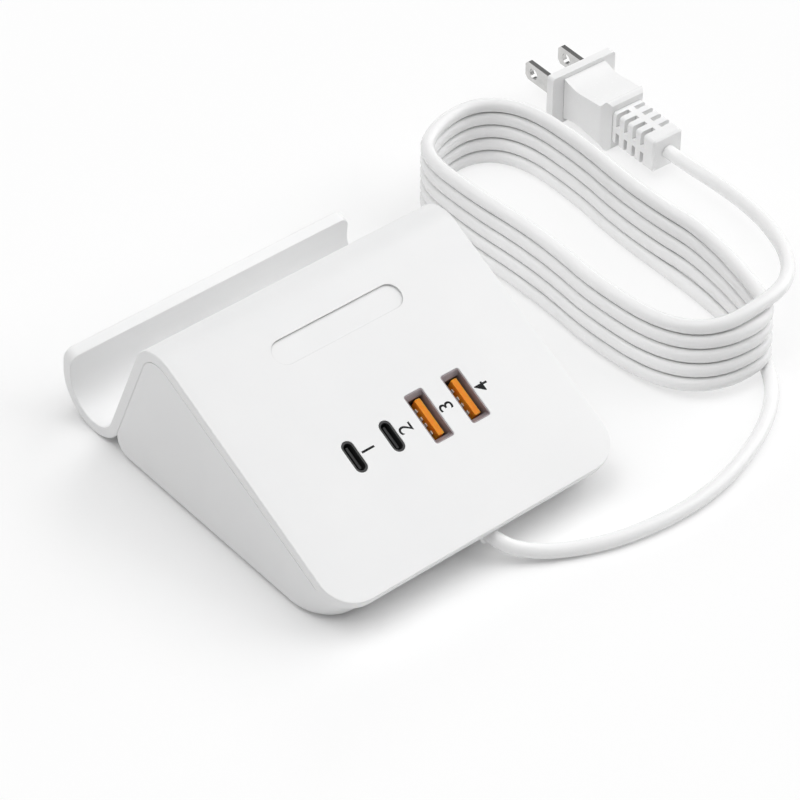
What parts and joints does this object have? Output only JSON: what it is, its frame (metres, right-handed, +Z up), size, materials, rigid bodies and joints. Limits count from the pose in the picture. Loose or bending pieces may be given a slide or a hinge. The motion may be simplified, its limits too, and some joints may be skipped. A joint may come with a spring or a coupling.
{
  "type": "multi-port usb desktop charger",
  "caption": "Wedge-shaped desk charger: sloped panel with USB sockets, rounded ridge, phone cradle behind it, coiled mains cord with flat-blade plug.",
  "frame": {"origin": "centre of the housing's footprint on the table, without the cord and plug", "axes": "+Z up, -Y towards the socket panel's front edge, +Y towards the phone cradle, +X along the width"},
  "size_m": [0.2096, 0.1696, 0.048],
  "materials": {
    "white_housing": "satin moulded",
    "cord_jacket": "smooth extruded",
    "socket_steel": "plated",
    "orange_tongue": "moulded",
    "black_plastic": "moulded",
    "contact_metal": "plated",
    "circuit_board": "solder resist",
    "ferrite": "sintered",
    "winding_tape": "taped",
    "heat_sink": "bare",
    "fuse_body": "glazed",
    "film_capacitor": "moulded",
    "capacitor_sleeve": "shrink sleeve",
    "terminal_green": "moulded",
    "live_wire": "extruded",
    "neutral_wire": "extruded",
    "ribbon": "laminated",
    "rubber_foot": "moulded",
    "screw_steel": "zinc plated",
    "blade_metal": "nickel plated"
  },
  "bodies": {
    "root": {"base_housing": "white_housing", "board_screw_front_left": "screw_steel", "board_screw_front_right": "screw_steel", "board_screw_rear_left": "screw_steel", "board_screw_rear_right": "screw_steel", "bridge_rectifier": "black_plastic", "bulk_capacitor_1": "capacitor_sleeve", "bulk_capacitor_2": "capacitor_sleeve", "cord_coil": "cord_jacket", "cord_gland": "cord_jacket", "cord_lead": "cord_jacket", "cord_tail": "cord_jacket", "foot_front_left": "rubber_foot", "foot_front_right": "rubber_foot", "foot_rear_left": "rubber_foot", "foot_rear_right": "rubber_foot", "fuse": "fuse_body", "heat_sink": "heat_sink", "housing_screw_front_left": "screw_steel", "housing_screw_front_right": "screw_steel", "housing_screw_rear_left": "screw_steel", "housing_screw_rear_right": "screw_steel", "input_terminal": "terminal_green", "line_choke": "ferrite", "link_header": "black_plastic", "link_ribbon": "ribbon", "live_lead": "live_wire", "neutral_lead": "neutral_wire", "output_capacitor_1": "capacitor_sleeve", "output_capacitor_2": "capacitor_sleeve", "output_capacitor_3": "capacitor_sleeve", "output_inductor": "ferrite", "plug_blade_left": "blade_metal", "plug_blade_right": "blade_metal", "plug_body": "cord_jacket", "port_board": "circuit_board", "port_screw_left": "screw_steel", "port_screw_right": "screw_steel", "power_board": "circuit_board", "safety_capacitor": "film_capacitor", "switching_transistor": "black_plastic", "top_cover": "white_housing", "transformer_core": "ferrite", "transformer_winding": "winding_tape", "usb_a_contacts_1": "contact_metal", "usb_a_contacts_2": "contact_metal", "usb_a_shell_1": "socket_steel", "usb_a_shell_2": "socket_steel", "usb_a_tongue_1": "orange_tongue", "usb_a_tongue_2": "orange_tongue", "usb_c_shell_1": "socket_steel", "usb_c_shell_2": "socket_steel", "usb_c_tongue_1": "black_plastic", "usb_c_tongue_2": "black_plastic"}
  },
  "joints": []
}
